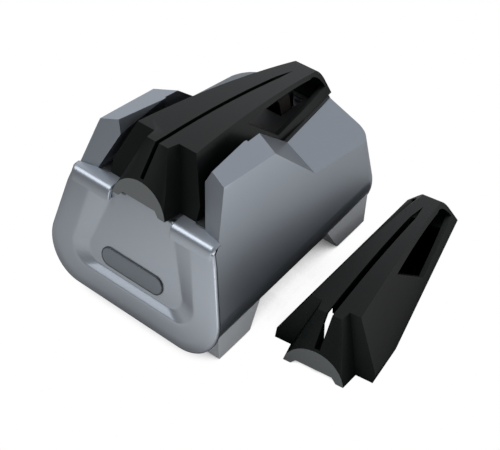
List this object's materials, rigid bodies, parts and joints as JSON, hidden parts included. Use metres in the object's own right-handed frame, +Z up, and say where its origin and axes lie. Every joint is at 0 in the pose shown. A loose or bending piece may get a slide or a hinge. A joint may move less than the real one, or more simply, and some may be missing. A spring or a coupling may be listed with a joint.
{
  "type": "knife sharpener",
  "caption": "bench-top electric belt knife sharpener with sloping housing, front fascia and lift-out blade guide, and a spare guide beside it",
  "frame": {"origin": "centre of the bottom of the bounding box, on the table", "axes": "+Z up, -Y front of the machine, +X to its right, where the spare guide stands"},
  "size_m": [0.2725, 0.261, 0.1592],
  "materials": {
    "body_plastic": "satin",
    "fascia_plastic": "satin",
    "guide_plastic": "fine texture",
    "foot_plastic": "matte",
    "badge_plastic": "gloss",
    "base_plastic": "matte",
    "pad_rubber": "matte",
    "frame_aluminium": "cast",
    "bright_steel": "ground",
    "motor_steel": "satin",
    "abrasive": "abrasive coated cloth",
    "switch_plastic": "gloss",
    "board": "matte"
  },
  "bodies": {
    "machine": {"front_fascia": "fascia_plastic", "fascia_badge": "badge_plastic", "housing": "body_plastic", "base_plate": "base_plastic", "base_screws": "bright_steel", "drive_frame": "frame_aluminium", "front_bearing": "bright_steel", "rear_bearing": "bright_steel", "motor_can": "motor_steel", "motor_end_cap": "switch_plastic", "motor_cradle": "base_plastic", "abrasive_belt": "abrasive", "tension_spring": "bright_steel", "belt_tray": "base_plastic", "switch_bezel": "switch_plastic", "power_inlet": "switch_plastic", "circuit_board": "board", "board_standoffs": "base_plastic", "front_left_foot": "foot_plastic", "front_left_pad": "pad_rubber", "front_right_foot": "foot_plastic", "front_right_pad": "pad_rubber", "rear_left_foot": "foot_plastic", "rear_left_pad": "pad_rubber", "rear_right_foot": "foot_plastic", "rear_right_pad": "pad_rubber"},
    "seated_guide": {"knife_guide": "guide_plastic"},
    "loose_guide": {"spare_guide": "guide_plastic"},
    "rotor": {"drive_shaft": "bright_steel", "drive_wheel": "pad_rubber", "motor_armature": "motor_steel", "motor_fan": "switch_plastic"},
    "arm": {"tension_arm": "frame_aluminium", "idler_axle": "bright_steel"},
    "idler": {"idler_wheel": "frame_aluminium"},
    "rocker": {"rocker_switch": "switch_plastic"}
  },
  "joints": [
    {"name": "guide_tilt", "type": "hinge", "parent": "machine", "child": "seated_guide", "pos_m": [-0.04815, -0.10842, 0.1142], "axis": [1, 0, 0], "range_deg": [0, 20]},
    {"name": "spare_guide_lift", "type": "slide", "parent": "machine", "child": "loose_guide", "axis": [0, 0, 1], "range_m": [0, 0.05]},
    {"name": "rotor_spin", "type": "hinge", "parent": "machine", "child": "rotor", "pos_m": [-0.04815, 0.05828, 0.046], "axis": [0, 1, 0], "continuous": true},
    {"name": "arm_slide", "type": "slide", "parent": "machine", "child": "arm", "axis": [0, 0, 1], "range_m": [-0.005, 0], "stiffness_N_per_m": 900, "springref_m": 0.006, "deforming": ["tension_spring", "abrasive_belt"]},
    {"name": "idler_spin", "type": "hinge", "parent": "arm", "child": "idler", "pos_m": [-0.04815, 0.05828, 0.108], "axis": [0, 1, 0], "continuous": true},
    {"name": "switch_rock", "type": "hinge", "parent": "machine", "child": "rocker", "pos_m": [-0.00815, 0.09218, 0.058], "axis": [1, 0, 0], "range_deg": [0, 16]}
  ],
  "couplings": [
    {"joint": "idler_spin", "follows": "rotor_spin", "ratio": 2.4615}
  ]
}
